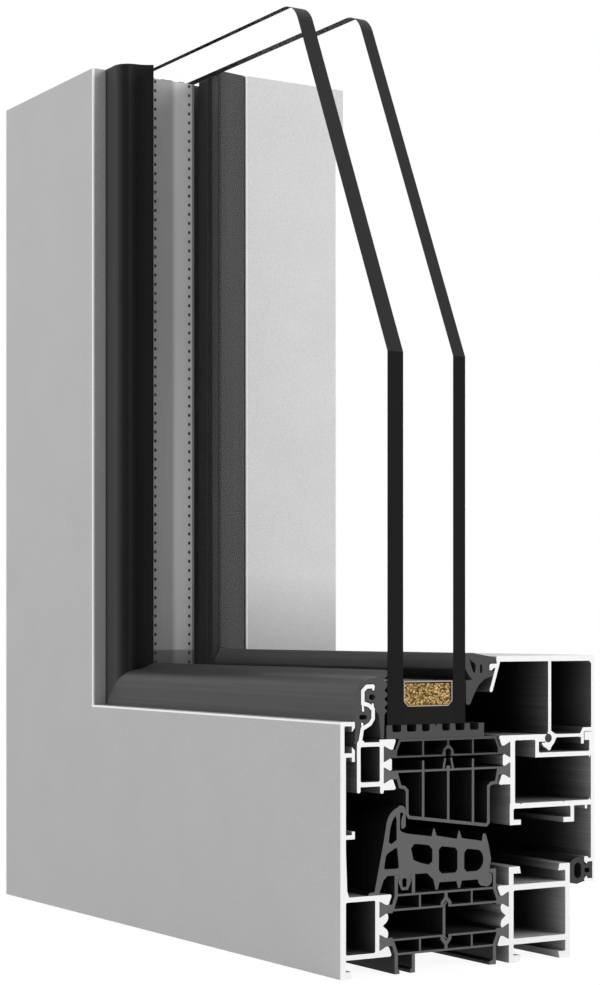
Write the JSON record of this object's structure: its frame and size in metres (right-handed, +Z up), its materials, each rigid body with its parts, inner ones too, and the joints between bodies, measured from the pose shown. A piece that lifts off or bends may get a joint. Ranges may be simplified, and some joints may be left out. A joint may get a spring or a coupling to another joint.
{
  "type": "window corner section",
  "caption": "Corner of a thermally broken aluminium window cut open to show its section: frame and sash profiles, plastic strips, gaskets, glazing bead and insulating glass.",
  "frame": {"origin": "middle of the bounding box at floor level, where the sample stands on the outer edge of its bottom member", "axes": "+X along the bottom member to its cut end, +Y from the outside to the room, +Z up along the upright member"},
  "size_m": [0.21, 0.0838, 0.266],
  "materials": {
    "coated_aluminium": "fine matte grey coating, bare bright metal on the cut faces",
    "polyamide": "matte dark grey, glass filled",
    "gasket_rubber": "smooth satin black",
    "setting_plastic": "matte black",
    "spacer_metal": "satin, with two rows of fine perforations towards the pane gap",
    "desiccant": "dull golden granules",
    "sealant": "matte black",
    "pane_glass": "clear and polished, with dark ground edges"
  },
  "bodies": {
    "root": {"frame_outer_shell_bottom": "coated_aluminium", "frame_outer_shell_upright": "coated_aluminium", "frame_inner_shell_bottom": "coated_aluminium", "frame_inner_shell_upright": "coated_aluminium", "frame_upper_strip_bottom": "polyamide", "frame_upper_strip_upright": "polyamide", "frame_lower_strip_bottom": "polyamide", "frame_lower_strip_upright": "polyamide", "frame_divider_bottom": "polyamide", "frame_divider_upright": "polyamide", "sash_outer_shell_bottom": "coated_aluminium", "sash_outer_shell_upright": "coated_aluminium", "sash_inner_shell_bottom": "coated_aluminium", "sash_inner_shell_upright": "coated_aluminium", "sash_upper_strip_bottom": "polyamide", "sash_upper_strip_upright": "polyamide", "sash_lower_strip_bottom": "polyamide", "sash_lower_strip_upright": "polyamide", "glazing_bead_bottom": "coated_aluminium", "glazing_bead_upright": "coated_aluminium", "bead_cord_bottom": "gasket_rubber", "bead_cord_upright": "gasket_rubber", "central_gasket_bottom": "gasket_rubber", "central_gasket_upright": "gasket_rubber", "rebate_gasket_bottom": "gasket_rubber", "rebate_gasket_upright": "gasket_rubber", "outer_glazing_gasket_bottom": "gasket_rubber", "outer_glazing_gasket_upright": "gasket_rubber", "inner_glazing_gasket_bottom": "gasket_rubber", "inner_glazing_gasket_upright": "gasket_rubber", "setting_strip_bottom": "setting_plastic", "setting_strip_upright": "setting_plastic", "spacer_bar": "spacer_metal", "desiccant_fill": "desiccant", "edge_sealant": "sealant", "outer_pane": "pane_glass", "inner_pane": "pane_glass"}
  },
  "joints": []
}
